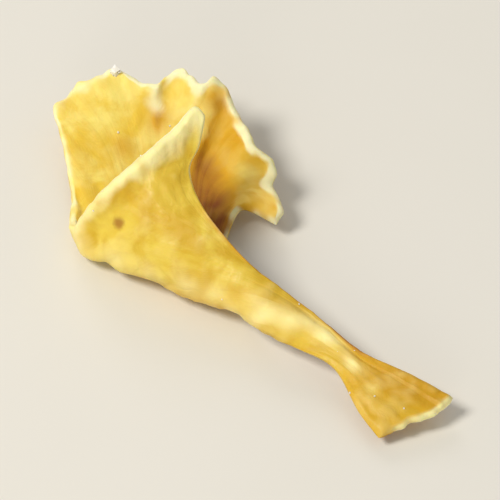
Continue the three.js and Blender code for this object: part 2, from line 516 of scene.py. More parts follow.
class Effect:
    """A shader effect that several finishes share, built once as a node group.

    An input's value is its default, or None for a vector.
    """

    name: str = ""
    inputs: dict[str, float | None] = {}

    @classmethod
    def group(cls) -> NodeTree:
        """Makes the effect's node group at the first call.

        Returns:
            The group.
        """
        made = bpy.data.node_groups.get(cls.name)
        if made is not None:
            return made
        tree = bpy.data.node_groups.new(cls.name, "ShaderNodeTree")
        for label, value in cls.inputs.items():
            kind = "NodeSocketVector" if value is None else "NodeSocketFloat"
            socket = tree.interface.new_socket(label, in_out="INPUT", socket_type=kind)
            if value is not None:
                socket.default_value = value
        given = {socket.name: socket for socket in tree.nodes.new("NodeGroupInput").outputs}
        bench = Bench(tree)
        masks = cls.wire(bench, given)
        for label in masks:
            tree.interface.new_socket(label, in_out="OUTPUT", socket_type="NodeSocketFloat")
        bench.fill(tree.nodes.new("NodeGroupOutput"), masks)
        return tree

    @classmethod
    def wire(cls, bench: Bench, given: Wires) -> Wires:
        """Wires the effect's nodes.

        Args:
            bench: The group's nodes.
            given: The group's inputs, by name.

        Returns:
            The group's outputs, by name.
        """
        raise NotImplementedError

    @classmethod
    def put(cls, bench: Bench, **values: object) -> Outputs:
        """Puts the effect in a material.

        Args:
            bench: The material's nodes.
            values: Sockets or numbers for the inputs, with _ for a space.

        Returns:
            The effect's outputs.
        """
        named = {label.replace("_", " "): value for label, value in values.items()}
        return bench.node("Group", named, node_tree=cls.group())


class Clouding(Effect):
    """Cloudy thick and thin places in the dried blade, and small dark flecks."""

    name = "tissue_clouding"
    inputs = {"Place": None, "Cloud Scale": 700, "Fleck Scale": 1500, "Fleck Share": 0.1}
    patch_scale = 0.31
    fleck_softness = 0.08

    @classmethod
    def wire(cls, bench: Bench, given: Wires) -> Wires:
        """Wires two sizes of cloud, and flecks in a share of small cells.

        Args:
            bench: The group's nodes.
            given: The group's inputs, by name.

        Returns:
            The masks Cloud, Patch and Fleck.
        """
        place, scale = given["Place"], given["Cloud Scale"]
        cloud = bench.noise(place, scale, 4, 0.6)
        patch = bench.noise(place, bench.math("MULTIPLY", scale, cls.patch_scale), 2, 1.2)
        cells = bench.node("TexVoronoi", {"Vector": place, "Scale": given["Fleck Scale"]})
        draws = bench.node("SeparateColor", {0: cells["Color"]})
        radius = bench.math("MULTIPLY", draws[1], 0.1)
        edge = bench.math("ADD", radius, cls.fleck_softness)
        inside = bench.ranged(cells["Distance"], edge, radius)
        chosen = bench.math("LESS_THAN", draws[0], given["Fleck Share"])
        return {
            "Cloud": bench.ranged(cloud, 0.36, 0.66),
            "Patch": bench.ranged(patch, 0.4, 0.62),
            "Fleck": bench.math("MULTIPLY", inside, chosen),
        }


class DriedGrain(Effect):
    """Fine shrinkage of the dried skin: low wrinkles with a pebbled grain on them."""

    name = "dried_grain"
    inputs = {"Place": None, "Wrinkle Scale": 2200, "Grain Scale": 9000, "Grain Share": 0.3}
    sharpness = 3.0

    @classmethod
    def wire(cls, bench: Bench, given: Wires) -> Wires:
        """Wires folded-over noise for wrinkles, with a share of fine noise on it.

        Args:
            bench: The group's nodes.
            given: The group's inputs, by name.

        Returns:
            The height of the skin.
        """
        wrinkle = bench.noise(given["Place"], given["Wrinkle Scale"], 3, 0.8)
        fold = bench.math("ABSOLUTE", bench.math("SUBTRACT", wrinkle, 0.5))
        ridge_highlight = bench.math("SUBTRACT", 1, bench.math("MULTIPLY", fold, cls.sharpness))
        grain = bench.noise(given["Place"], given["Grain Scale"], 3)
        small = bench.math("MULTIPLY", grain, given["Grain Share"])
        return {"Height": bench.math("ADD", ridge_highlight, small)}


class Streaks(Effect):
    """Faint light and dark lines that run from the foot to the rim and spread with the fan."""

    name = "lengthwise_streaks"
    inputs = {"Lay": None, "Fineness": 2, "Stretch": 8}

    @classmethod
    def wire(cls, bench: Bench, given: Wires) -> Wires:
        """Wires noise that is squeezed across the blade.

        Args:
            bench: The group's nodes.
            given: The group's inputs, by name.

        Returns:
            The mask Streak.
        """
        lengthwise = bench.math("DIVIDE", given["Fineness"], given["Stretch"])
        squeeze = bench.node("CombineXYZ", {0: given["Fineness"], 1: lengthwise, 2: 1})[0]
        laid = bench.node("VectorMath", {0: given["Lay"], 1: squeeze}, operation="MULTIPLY")[0]
        return {"Streak": bench.ranged(bench.noise(laid, 1.0, 3, 0.5), 0.38, 0.66)}


class Pinhole(Effect):
    """One small round hole or spot at a named place."""

    name = "pinhole"
    inputs = {"Place": None, "Centre": None, "Radius": 0.0001, "Ragged Scale": 6000}
    core = 0.35
    rim = 1.3

    @classmethod
    def wire(cls, bench: Bench, given: Wires) -> Wires:
        """Wires the distance from the centre, a little uneven, to a soft round mask.

        Args:
            bench: The group's nodes.
            given: The group's inputs, by name.

        Returns:
            The mask Hole.
        """
        ends = {0: given["Place"], 1: given["Centre"]}
        away = bench.node("VectorMath", ends, operation="DISTANCE")["Value"]
        rough = bench.noise(given["Place"], given["Ragged Scale"], 1)
        eased = bench.math("MULTIPLY", bench.math("ADD", rough, 1.5), 0.5)
        uneven = bench.math("MULTIPLY", eased, given["Radius"])
        inner, outer = (bench.math("MULTIPLY", uneven, share) for share in (cls.core, cls.rim))
        return {"Hole": bench.ranged(away, outer, inner)}


class TornEdge(Effect):
    """The pale, ragged band along a torn or cut edge."""

    name = "torn_edge"
    inputs = {"Place": None, "Edge": 0, "Ragged Scale": 2500, "Raggedness": 0.4}

    @classmethod
    def wire(cls, bench: Bench, given: Wires) -> Wires:
        """Wires the edge's nearness with noise taken from it.

        Args:
            bench: The group's nodes.
            given: The group's inputs, by name.

        Returns:
            The mask Band.
        """
        torn = bench.noise(given["Place"], given["Ragged Scale"], 2)
        uneven = bench.math("MULTIPLY", bench.math("SUBTRACT", torn, 0.5), given["Raggedness"])
        near = bench.math("ADD", given["Edge"], uneven)
        return {"Band": bench.ranged(near, 0.1, 0.95)}


@dataclass(frozen=True)
class FrondFinish:
    """The skin of one side of the dried blade."""

    name: str
    thin: str
    thick: str
    gold: str
    deep: str
    # Colour of the painted shade deep in the cup.
    cup_shade: str
    edge: str
    # Colour of the painted highlights on raised folds and the stem.
    ridge_highlight: str
    fleck: str
    cloud_scale: float
    fleck_share: float
    edge_share: float
    ridge_highlight_share: float
    roughness: float
    relief: float
    fleck_scale: float = 1700.0
    subsurface: float = 0.2
    hole_share: float = 0.72
    fineness: float = 1.6
    stretch: float = 9.0
    streak_share: float = 0.16
    gloss: float = 0.3
    bump_strength: float = 0.55
    ragged_scale: float = 3000.0
    raggedness: float = 0.3
    wrinkle_scale: float = 1500.0
    grain_scale: float = 7000.0
    grain_share: float = 0.35
    patch_base: float = 2.0
    patch_share: float = 0.34
    fleck_strength: float = 0.4
    thick_dullness: float = 0.14
    torn_dullness: float = 0.18
    streak_height: float = 0.4
    hole_depth: float = 0.8
    glow_reach: tuple[float, float, float] = (0.8, 0.5, 0.14)
    glow_depth: float = 0.5
    refraction: float = 1.45

    def material(self, spots: list[tuple[Vector, float]]) -> Material:
        """Builds the skin's material.

        Args:
            spots: Centre and radius of each pinhole of this side, in metres.

        Returns:
            The material, with masks from the blade's own attributes.
        """
        made, bench, skin = Bench.for_material(self.name)
        place = bench.place()
        tint_and_shade, edge, ridge_highlight, depth, spread = (
            bench.node("Attribute", {}, attribute_name=label)["Fac"]
            for label in ("tint_and_shade", "edge", "ridge_highlight", "depth", "spread")
        )
        lay = bench.node("Attribute", {}, attribute_name="lay")["Vector"]
        clouds = Clouding.put(
            bench,
            Place=place,
            Cloud_Scale=self.cloud_scale,
            Fleck_Scale=self.fleck_scale,
            Fleck_Share=self.fleck_share,
        )
        lines = Streaks.put(bench, Lay=lay, Fineness=self.fineness, Stretch=self.stretch)["Streak"]
        lines = bench.math("MULTIPLY", lines, spread)
        band = TornEdge.put(
            bench, Place=place, Edge=edge, Ragged_Scale=self.ragged_scale, Raggedness=self.raggedness
        )
        torn = bench.math("MULTIPLY", band["Band"], self.edge_share)
        holes = 0.0
        for centre, radius in spots:
            spot = Pinhole.put(bench, Place=place, Centre=centre, Radius=radius)
            holes = bench.math("MAXIMUM", holes, spot["Hole"])

        cloudy = bench.math("ADD", clouds["Patch"], self.patch_base)
        cloudy = bench.math("MULTIPLY", cloudy, self.patch_share)
        doubled = bench.math("MULTIPLY", bench.math("MULTIPLY", tint_and_shade, cloudy), 2.0)
        doubled = bench.math("ADD", doubled, bench.math("MULTIPLY", lines, self.streak_share))
        strong = bench.math("MAXIMUM", bench.math("SUBTRACT", doubled, 1.0), 0.0)
        shown = bench.math("MULTIPLY", holes, self.hole_share)
        flecks = bench.math("MULTIPLY", clouds["Fleck"], self.fleck_strength)
        layers = (
            # Gold and deep amber follow the tone mask, which also holds painted shade deep in the cup and
            # on the stem's right side.
            (bench.math("MINIMUM", doubled, 1.0), self.gold),
            (bench.math("MINIMUM", strong, 1.0), self.deep),
            # Painted shade deep in the cup.
            (depth, self.cup_shade),
            # Painted highlights on raised folds, the stem's crest and the front's lower fold.
            (bench.math("MULTIPLY", ridge_highlight, self.ridge_highlight_share), self.ridge_highlight),
            # Pale torn edge, with a painted highlight over the front's tip.
            (torn, self.edge),
            (bench.math("MAXIMUM", shown, flecks), self.fleck),
        )
        base = bench.mixed(clouds["Cloud"], linear_rgb(self.thin), linear_rgb(self.thick))
        for share, colour in layers:
            base = bench.mixed(share, base, linear_rgb(colour))

        dull = bench.math("MULTIPLY", clouds["Cloud"], self.thick_dullness)
        dull = bench.math("ADD", dull, bench.math("MULTIPLY", torn, self.torn_dullness))
        grain = DriedGrain.put(
            bench,
            Place=place,
            Wrinkle_Scale=self.wrinkle_scale,
            Grain_Scale=self.grain_scale,
            Grain_Share=self.grain_share,
        )
        raised = bench.math("MULTIPLY", lines, self.streak_height)
        sunk = bench.math("MULTIPLY", holes, self.hole_depth)
        height = bench.math("SUBTRACT", bench.math("ADD", grain["Height"], raised), sunk)
        values = {
            "Base Color": base,
            "Roughness": bench.math("ADD", dull, self.roughness),
            "Normal": bench.bumped(height, self.bump_strength, self.relief),
            "Subsurface Weight": self.subsurface,
            "Subsurface Radius": self.glow_reach,
            "Subsurface Scale": self.glow_depth * MM,
            "IOR": self.refraction,
            "Specular IOR Level": self.gloss,
        }
        bench.fill(skin, values)
        return made


@dataclass(frozen=True)
class SaltFinish:
    """White crystals of sea salt."""

    name: str = "sea_salt"
    clear: str = "fffefa"
    cloudy: str = "f6f1e4"
    roughness: float = 0.16
    dullness: float = 0.25
    subsurface: float = 0.6
    glow_depth: float = 0.15
    scale: float = 9000.0
    grain_scale: float = 30000.0
    grain_share: float = 0.3
    relief: float = 0.004
    bump_strength: float = 0.3

    def material(self) -> Material:
        """Builds the salt's material.

        Returns:
            The material.
        """
        made, bench, salt = Bench.for_material(self.name)
        place = bench.place()
        clouds = Clouding.put(
            bench, Place=place, Cloud_Scale=self.scale, Fleck_Scale=self.scale, Fleck_Share=0.0
        )
        grain = DriedGrain.put(
            bench,
            Place=place,
            Wrinkle_Scale=self.scale,
            Grain_Scale=self.grain_scale,
            Grain_Share=self.grain_share,
        )
        dull = bench.math("MULTIPLY", clouds["Patch"], self.dullness)
        values = {
            "Base Color": bench.mixed(
                clouds["Cloud"], linear_rgb(self.clear), linear_rgb(self.cloudy)
            ),
            "Roughness": bench.math("ADD", dull, self.roughness),
            "Normal": bench.bumped(grain["Height"], self.bump_strength, self.relief),
            "Subsurface Weight": self.subsurface,
            "Subsurface Radius": (1, 1, 1),
            "Subsurface Scale": self.glow_depth * MM,
        }
        bench.fill(salt, values)
        return made


@dataclass(frozen=True)
class PaperFinish:
    """The pale paper that the flake lies on."""

    name: str = "pale_paper"
    tone: str = "e9e7e2"
    shade: str = "e4e2dc"
    roughness: float = 0.85

    def material(self) -> Material:
        """Builds the paper's material.

        Returns:
            The material.
        """
        made, bench, paper = Bench.for_material(self.name)
        fibre = bench.noise(bench.place(), 90.0, 3, 0.4)
        tone = bench.mixed(fibre, linear_rgb(self.tone), linear_rgb(self.shade))
        bench.fill(paper, {"Base Color": tone, "Roughness": self.roughness})
        return made


@dataclass(frozen=True)
class Sheet:
    """The blade's fine grid: each point's place on the form, and how far it is from each edge."""

    points: np.ndarray
    along: np.ndarray
    across: np.ndarray
    from_foot: np.ndarray
    to_rim: np.ndarray
    from_right: np.ndarray
    to_left: np.ndarray

    @classmethod
    def of(cls, points: np.ndarray, along: np.ndarray, across: np.ndarray) -> "Sheet":
        """Walks a grid of points from each of its edges.

        Args:
            points: Points by row and column.
            along: Their places from foot to rim.
            across: Their places across the blade.

        Returns:
            The grid with its distances.
        """
        down, over = lengths_along(points, 0), lengths_along(points, 1)
        return cls(points, along, across, down, down[-1:] - down, over, over[:, -1:] - over)

    def nearest(self, mark: Mark) -> int:
        """Number of the grid point nearest to a mark."""
        away = (self.along - mark.along) ** 2 + (self.across - mark.across) ** 2
        return int(np.argmin(away))

    def away_from(self, face: np.ndarray, mark: Mark) -> np.ndarray:
        """How far each point of a face is from the middle of a mark.

        Args:
            face: Points of the face, in the grid's layout.
            mark: The pit or blush.

        Returns:
            The distances, very large on parts of the blade that only lie near it by the roll.
        """
        centre = face.reshape(-1, 3)[self.nearest(mark)]
        near = np.abs(self.along - mark.along) < MARK_SPAN_ALONG
        near &= np.abs(self.across - mark.across) < MARK_SPAN_ACROSS
        return np.where(near, np.linalg.norm(face - centre, axis=-1), FAR_OFF)


@dataclass
class FlakeBlade:
    """The whole blade of the flake, from its torn foot to its frilled rim, as one closed sheet."""

    form: FrondForm
    thickness: float = 0.48
    rim_reach: float = 1.4
    rim_thickness: Profile = (
        (0, 0.48), (0.2, 0.46), (0.26, 0.3), (0.66, 0.32), (0.72, 0.36), (0.95, 0.36), (1, 0.28),
    )
    rim_band: Profile = (
        (0, 1), (0.1, 0.9), (0.2, 0.65), (0.25, 0.55), (0.4, 0.55),
        (0.45, 0.75), (0.68, 0.8), (0.71, 1), (1, 1),
    )
    # Width of the pale rim band; the wide band over the front's tip is a painted highlight.
    band_and_highlight_width: Profile = (
        (0, 2.5), (0.04, 2.1), (0.12, 1.15), (0.2, 0.65), (0.26, 0.55), (0.4, 0.6),
        (0.45, 0.75), (0.58, 0.7), (0.63, 1.3), (0.67, 1.1), (0.71, 0.45), (1, 0.45),
    )
    side_band: float = 0.7
    foot_band: float = 0.9
    edge_radius: float = 0.2
    edge_steps: int = 7
    rows: int = 118
    columns: int = 330
    dent_height: float = 0.028
    ripple_height: float = 0.012
    pleat_height: float = 0.011
    relief_height: float = 0.012
    crest_height: float = 0.06
    tear_depth: float = 0.055
    most_crumple: float = 0.11
    table_softness: float = 0.015
    # Strength of the painted shade along the stem's right side.
    painted_side_shade: float = 1.6
    faces_apart: float = 50.0
    coarse_teeth: Waviness = Waviness(11, 0.45, 1.3)
    fine_teeth: Waviness = Waviness(12, 0.3, 0.5)
    dents: Waviness = Waviness(21, 1.6, 3.2)
    ripples: Waviness = Waviness(22, 0.7, 1.3)
    pleat_wander: Waviness = Waviness(23, 2.5, 5.0)
    band_breaks: Waviness = Waviness(51, 0.5, 1.4)
    band_waves: Waviness = Waviness(52, 0.8, 2.6)
    crest_waves: Waviness = Waviness(61, 0.8, 1.6)
    bump_seeds: tuple[int, int] = (31, 41)
    bump_span: tuple[float, float] = (0.45, 0.9)
    grain_span: tuple[float, float] = (0.28, 0.4)
    outer_finish: FrondFinish = FrondFinish(
        name="frond_outer_skin",
        thin="e7cf55",
        thick="d1ac2b",
        gold="d6aa26",
        deep="b8781c",
        cup_shade="8a5015",
        edge="fff6b4",
        ridge_highlight="fff0a8",
        fleck="97521a",
        cloud_scale=900.0,
        fleck_share=0.03,
        edge_share=0.9,
        ridge_highlight_share=0.75,
        roughness=0.38,
        relief=0.03,
    )
    inner_finish: FrondFinish = FrondFinish(
        name="frond_inner_skin",
        thin="fdec84",
        thick="efce4a",
        gold="dba824",
        deep="94551c",
        cup_shade="5e240c",
        edge="fff9c8",
        ridge_highlight="fde88c",
        fleck="95601a",
        cloud_scale=800.0,
        fleck_share=0.025,
        edge_share=0.95,
        ridge_highlight_share=0.35,
        roughness=0.56,
        relief=0.026,
    )
    pits: tuple[Pit, ...] = (
        Pit(0.772, 0.1915, Side.OUTER, 0.22, 0.04),
        Pit(0.78, 0.5, Side.OUTER, 0.12, 0.06),
        Pit(0.88, 0.78, Side.OUTER, 0.09, 0.04),
        Pit(0.6, 0.7, Side.OUTER, 0.06),
    )
    tint_and_light_spots: tuple[TintAndLightSpot, ...] = (
        # Inner face: deeper gold by the front's fold and in the folds by the crown, painted shade.
        TintAndLightSpot(0.82, 0.505, Side.INNER, 0.4, 0.38),
        TintAndLightSpot(0.84, 0.6, Side.INNER, 0.4, 0.6),
        TintAndLightSpot(0.89, 0.6, Side.INNER, 0.35, 0.45),
        TintAndLightSpot(0.93, 0.715, Side.INNER, 0.4, 0.3),
        # Paler in the right lobe's lower bay, painted light that lifts the shade there.
        TintAndLightSpot(0.9, 0.87, Side.INNER, 0.6, -0.35),
        # A light gold tone on the left lobe.
        TintAndLightSpot(0.9, 0.4, Side.INNER, 0.6, 0.15),
        # Outer face: deeper gold tone on the front and the stem.
        TintAndLightSpot(0.8, 0.15, Side.OUTER, 0.6, 0.2),
        TintAndLightSpot(0.66, 0.12, Side.OUTER, 0.7, 0.25),
        TintAndLightSpot(0.3, 0.25, Side.OUTER, 0.6, 0.3),
        # Paler along the front's lower fold and the stem's lower side, painted light.
        TintAndLightSpot(0.93, 0.235, Side.OUTER, 0.35, -0.6),
        TintAndLightSpot(0.82, 0.262, Side.OUTER, 0.4, -0.55),
        TintAndLightSpot(0.7, 0.275, Side.OUTER, 0.4, -0.5),
        TintAndLightSpot(0.59, 0.31, Side.OUTER, 0.4, -0.4),
        TintAndLightSpot(0.5, 0.355, Side.OUTER, 0.4, -0.55),
        TintAndLightSpot(0.44, 0.4, Side.OUTER, 0.35, -0.45),
        # Paler along the stem's crest, painted highlights.
        TintAndLightSpot(0.345, 0.5, Side.OUTER, 0.4, -0.6),
        TintAndLightSpot(0.21, 0.44, Side.OUTER, 0.3, -0.5),
        TintAndLightSpot(0.136, 0.6, Side.OUTER, 0.25, -0.5),
        TintAndLightSpot(0.08, 0.66, Side.OUTER, 0.22, -0.35),
    )

    def parameters(self) -> tuple[np.ndarray, np.ndarray]:
        """Places of the fine grid on the form, close together at the edges so that they come out round.

        Returns:
            Places along and across the blade, by row and column.
        """
        rim_length = lengths_along(self.form.points[-1], 0)
        dense_across = np.linspace(0, 1, self.form.dense_columns)
        across = np.interp(self.spaced(rim_length[-1], self.columns), rim_length, dense_across)
        dense_along = np.linspace(0, 1, self.form.dense_rows)
        along = np.zeros((self.rows, self.columns))
        for column, place in enumerate(across):
            line = self.form.read(self.form.points, dense_along, np.full_like(dense_along, place))
            length = lengths_along(line, 0)
            along[:, column] = np.interp(self.spaced(length[-1], self.rows), length, dense_along)
        return along, np.broadcast_to(across, along.shape)

    def spaced(self, length: float, count: int) -> np.ndarray:
        """Distances along a line, evenly spaced but for the rounded ends.

        Args:
            length: The line's length.
            count: Number of distances.

        Returns:
            The distances from 0 to length.
        """
        angles = np.linspace(0, math.pi / 2, self.edge_steps, endpoint=False)
        end = self.edge_radius * (1 - np.cos(angles))
        left = count - 2 * self.edge_steps
        middle = np.linspace(self.edge_radius, length - self.edge_radius, left)
        return np.concatenate([end, middle, (length - end)[::-1]])

    def roundness(self, distance: np.ndarray) -> np.ndarray:
        """Share of the full thickness at a distance from an edge."""
        inside = 1 - np.clip(distance / self.edge_radius, 0, 1)
        return np.sqrt(np.clip(1 - inside * inside, 0, 1))

    def build(self) -> Object:
        """Builds and dresses the blade.

        Returns:
            The blade's object.
        """
        along, across = self.parameters()
        sheet = Sheet.of(self.form.read(self.form.points, along, across), along, across)
        outward = unit(self.form.read(self.form.outward, along, across))
        borders = (sheet.from_foot, sheet.to_rim, sheet.from_right, sheet.to_left)
        full = math.prod(self.roundness(border) for border in borders)
        sheet = replace(sheet, points=sheet.points + self.torn(sheet))
        lift = self.form.frame_thickness / 2 + self.crumple(sheet)
        rim = read_profile(self.rim_thickness, across)
        from_edge = smooth_step(0, self.rim_reach, np.minimum.reduce(borders))
        half = (rim + (self.thickness - rim) * from_edge) / 2 * full
        faces = {}
        for side, way in ((Side.INNER, -1), (Side.OUTER, 1)):
            away = lift + way * (half + self.relief(sheet, side) * full)
            face = sheet.points + outward * away[..., None]
            face[..., 2] = self.laid_down(face[..., 2])
            faces[side] = face
        blade = self.mesh_object(sheet, faces)
        self.mark(blade, sheet, faces)
        return blade

    def laid_down(self, height: np.ndarray) -> np.ndarray:
        """Presses the lowest places flat on the table."""
        return (height + np.sqrt(height * height + self.table_softness**2)) / 2

    def torn(self, sheet: Sheet) -> np.ndarray:
        """Ragged shift of the rim and the foot along the blade.

        Args:
            sheet: The fine grid.

        Returns:
            The shift of each point.
        """
        run = unit(np.gradient(sheet.points, axis=0))
        teeth = self.coarse_teeth.at(sheet.points) * 0.8
        teeth += self.fine_teeth.at(sheet.points) * 0.35
        lobe = 0.45 * smooth_step(0.68, 0.74, sheet.across)
        front = 0.55 * smooth_step(0.24, 0.18, sheet.across)
        rim = smooth_step(0.8, 0, sheet.to_rim) * (1 - lobe - front)
        foot = 0.9 * smooth_step(0.6, 0, sheet.from_foot)
        return run * (teeth * (rim - foot) * self.tear_depth)[..., None]

    def crumple(self, sheet: Sheet) -> np.ndarray:
        """Dents of the whole sheet, ripples by the rim and lengthwise pleats on the stem.

        Args:
            sheet: The fine grid.

        Returns:
            The shift of each point out of the cup.
        """
        points = sheet.points
        dents = self.dents.at(points) * self.dent_height
        near_rim = smooth_step(self.rim_reach, 0, sheet.to_rim)
        ripples = self.ripples.at(points) * self.ripple_height * near_rim
        wander = 0.06 * self.pleat_wander.at(points)
        turns = (sheet.across + wander) * 2 * math.pi
        pleats = np.sin(turns * 3) + 0.4 * np.sin(turns * 7)
        pleats = pleats * self.pleat_height * smooth_step(0.62, 0.3, sheet.along)
        return np.clip(dents + ripples + pleats, -self.most_crumple, self.most_crumple)

    def relief(self, sheet: Sheet, side: Side) -> np.ndarray:
        """Small bumps and pits of one face.

        Args:
            sheet: The fine grid.
            side: Which face.

        Returns:
            The height of each point over the plain face.
        """
        points = sheet.points
        seed = self.bump_seeds[0 if side is Side.OUTER else 1]
        bumps, grains = Waviness(seed, *self.bump_span), Waviness(seed + 1, *self.grain_span)
        height = (bumps.at(points) + 0.6 * grains.at(points)) * self.relief_height
        for pit in self.pits:
            if pit.side is side:
                away = sheet.away_from(points, pit) / pit.radius
                height = height - pit.depth * np.exp(-(away**2))
        if side is Side.OUTER:
            height = height + self.crest_height * self.crest(sheet, points)
        return height

    def crest(self, sheet: Sheet, points: np.ndarray) -> np.ndarray:
        """The rounded, uneven crest that runs along the stem, whose mask also paints a highlight along it.

        Args:
            sheet: The fine grid.
            points: Where the unevenness is read.

        Returns:
            The mask of the crest, 0 to 1.
        """
        middle = 0.5 + 0.1 * np.sin(sheet.along * 21)
        round_off = np.exp(-(((sheet.across - middle) / 0.2) ** 2))
        stem = smooth_step(0.08, 0.18, sheet.along) * smooth_step(0.52, 0.36, sheet.along)
        uneven = np.clip(self.crest_waves.at(points), -1, 1)
        return round_off * stem * (0.62 + 0.38 * uneven)

    def spots(self, sheet: Sheet, face: np.ndarray, side: Side) -> list[tuple[Vector, float]]:
        """Where the pinholes of one face are.

        Args:
            sheet: The fine grid.
            face: Points of the face.
            side: Which face.

        Returns:
            Centre and radius of each pinhole, in metres.
        """
        pits = [pit for pit in self.pits if pit.side is side]
        places = face.reshape(-1, 3) * MM
        return [(Vector(places[sheet.nearest(pit)]), pit.radius * MM) for pit in pits]

    def mesh_object(self, sheet: Sheet, faces: dict[Side, np.ndarray]) -> Object:
        """Joins the two faces along their shared edge.

        Args:
            sheet: The fine grid.
            faces: Points of each face.

        Returns:
            The closed blade, without its masks.
        """
        inner, outer = faces[Side.INNER], faces[Side.OUTER]
        rows, columns = self.rows, self.columns
        number = np.arange(rows * columns).reshape(rows, columns)
        behind = number.copy()
        count = (rows - 2) * (columns - 2)
        behind[1:-1, 1:-1] = rows * columns + np.arange(count).reshape(rows - 2, columns - 2)
        points = np.concatenate([inner.reshape(-1, 3), outer[1:-1, 1:-1].reshape(-1, 3)]) * MM
        front = (number[:-1, :-1], number[:-1, 1:], number[1:, 1:], number[1:, :-1])
        back = (behind[:-1, :-1], behind[1:, :-1], behind[1:, 1:], behind[:-1, 1:])
        quads = [np.stack(corners, axis=-1).reshape(-1, 4) for corners in (back, front)]
        skins = (
            self.outer_finish.material(self.spots(sheet, outer, Side.OUTER)),
            self.inner_finish.material(self.spots(sheet, inner, Side.INNER)),
        )
        mesh = new_mesh("flake_blade", points.tolist(), np.concatenate(quads).tolist(), *skins)
        slots = np.repeat([0, 1], [len(quads[0]), len(quads[1])]).astype(np.int32)
        mesh.polygons.foreach_set("material_index", slots)
        mesh.shade_smooth()
        return put_in_scene("flake_blade", mesh)

    def mark(self, blade: Object, sheet: Sheet, faces: dict[Side, np.ndarray]) -> None:
        """Writes the masks that the finishes read, and the blade laid out flat for its streaks.

        Args:
            blade: The closed blade.
            sheet: The fine grid.
            faces: Points of each face.
        """
        inner, outer = faces[Side.INNER], faces[Side.OUTER]
        # Amber tone with painted shade of both faces, and the outer face's painted highlights.
        inner_tint_and_shade, outer_tint_and_shade, pale = self.tints_and_shade(sheet, faces)
        edge = self.torn_edge(sheet, outer)
        spread = smooth_step(0.15, 0.7, sheet.along)
        # Painted highlights on raised folds of the fan, and on the outer face along the stem's crest.
        inner_ridge_highlight = self.ridge_highlight(inner, -1) * smooth_step(0.5, 0.75, sheet.along)
        crest = np.maximum(0.25 * self.ridge_highlight(outer, 1), self.crest(sheet, outer))
        over = sheet.across * lengths_along(inner[-1], 0)[-1]
        up = sheet.along * sheet.from_foot.max()
        lay = np.stack([over, up, np.zeros_like(up)], axis=-1)
        masks = {
            "tint_and_shade": (inner_tint_and_shade, outer_tint_and_shade),
            "edge": (edge, edge),
            "ridge_highlight": (inner_ridge_highlight, crest + pale),
            # Painted shade deep in the cup, on the inner face only.
            "depth": (self.depth(sheet.along), np.zeros_like(sheet.along)),
            "spread": (spread, spread),
            "lay": (lay, lay + (0, 0, self.faces_apart)),
        }
        for label, (inside, outside) in masks.items():
            width = inside[0, 0].size
            values = [inside.reshape(-1, width), outside[1:-1, 1:-1].reshape(-1, width)]
            kind, key = ("FLOAT", "value") if width == 1 else ("FLOAT_VECTOR", "vector")
            layer = blade.data.attributes.new(label, kind, "POINT")
            layer.data.foreach_set(key, np.concatenate(values).astype(np.float32).ravel())

    def torn_edge(self, sheet: Sheet, face: np.ndarray) -> np.ndarray:
        """Pale band along the rim, the foot and the sides of the fan, widened over the front's tip into a
        painted highlight.

        Args:
            sheet: The fine grid.
            face: Where the unevenness is read.

        Returns:
            The mask.
        """
        lobes = smooth_step(0.2, 0.3, sheet.across)
        wide = np.clip(self.band_waves.at(face), -1.5, 1.5)
        width = read_profile(self.band_and_highlight_width, sheet.across) * (1 + (0.2 + 0.25 * lobes) * wide)
        rim = smooth_step(1, 0.05, sheet.to_rim / width) * read_profile(self.rim_band, sheet.across)
        foot = smooth_step(0.2, 0.02, sheet.from_foot) * self.foot_band
        foot = foot * smooth_step(1.05, 0.5, sheet.across)
        side = smooth_step(0.3, 0.02, np.minimum(sheet.from_right, sheet.to_left)) * self.side_band
        side = side * smooth_step(0.5, 0.7, sheet.along)
        broken = 1 + (0.12 + 0.2 * lobes) * self.band_breaks.at(face)
        return np.clip(np.maximum.reduce([rim, foot, side]) * broken, 0, 1)

    def tints_and_shade(self, sheet: Sheet, faces: dict[Side, np.ndarray]) -> tuple[np.ndarray, ...]:
        """Amber tone and painted shade of each face, and the painted highlights of the outer one.

        The inner face is stained strongly on the right lobe and lightly on the left one, and both lobes
        darken deeper in the cup with painted shade. The outer face is stained little on the front and more
        on the back of the cup and the foot, and darkened along the stem's right side with painted shade.

        Args:
            sheet: The fine grid.
            faces: Points of each face.

        Returns:
            The masks of the inner tone and shade, the outer tone and shade, and the painted highlights.
        """
        along, across = sheet.along, sheet.across
        right = smooth_step(0.66, 0.74, across)
        # Both lobes darken deeper in the cup, towards the front's fold: painted shade.
        left_lobe = 0.02 + 0.5 * smooth_step(0.86, 0.6, along)
        right_lobe = 0.4 + 0.7 * smooth_step(0.83, 0.69, along)
        back = smooth_step(0.27, 0.45, across) * smooth_step(0.3, 0.5, along)
        stem, foot = smooth_step(0.5, 0.3, along), smooth_step(0.2, 0.08, along)
        tints_and_shade = {
            Side.INNER: left_lobe * (1 - right) + right_lobe * right,
            Side.OUTER: 0.07 + 0.5 * back + 0.15 * stem + 0.4 * foot,
        }
        # Listed spots: deeper gold, painted shade by the folds, and pale spots that are painted light.
        pale = np.zeros_like(along)
        for tint_light_spot in self.tint_and_light_spots:
            near = np.exp(-((sheet.away_from(faces[tint_light_spot.side], tint_light_spot) / tint_light_spot.reach) ** 2))
            tints_and_shade[tint_light_spot.side] += tint_light_spot.strength * near
            # Pale spots of the outer face are painted highlights, laid with the ridge highlights.
            if tint_light_spot.side is Side.OUTER:
                pale += max(-tint_light_spot.strength, 0) * near
        inner_tint_and_shade, outer_tint_and_shade = (np.clip(tints_and_shade[side], 0, None) for side in (Side.INNER, Side.OUTER))
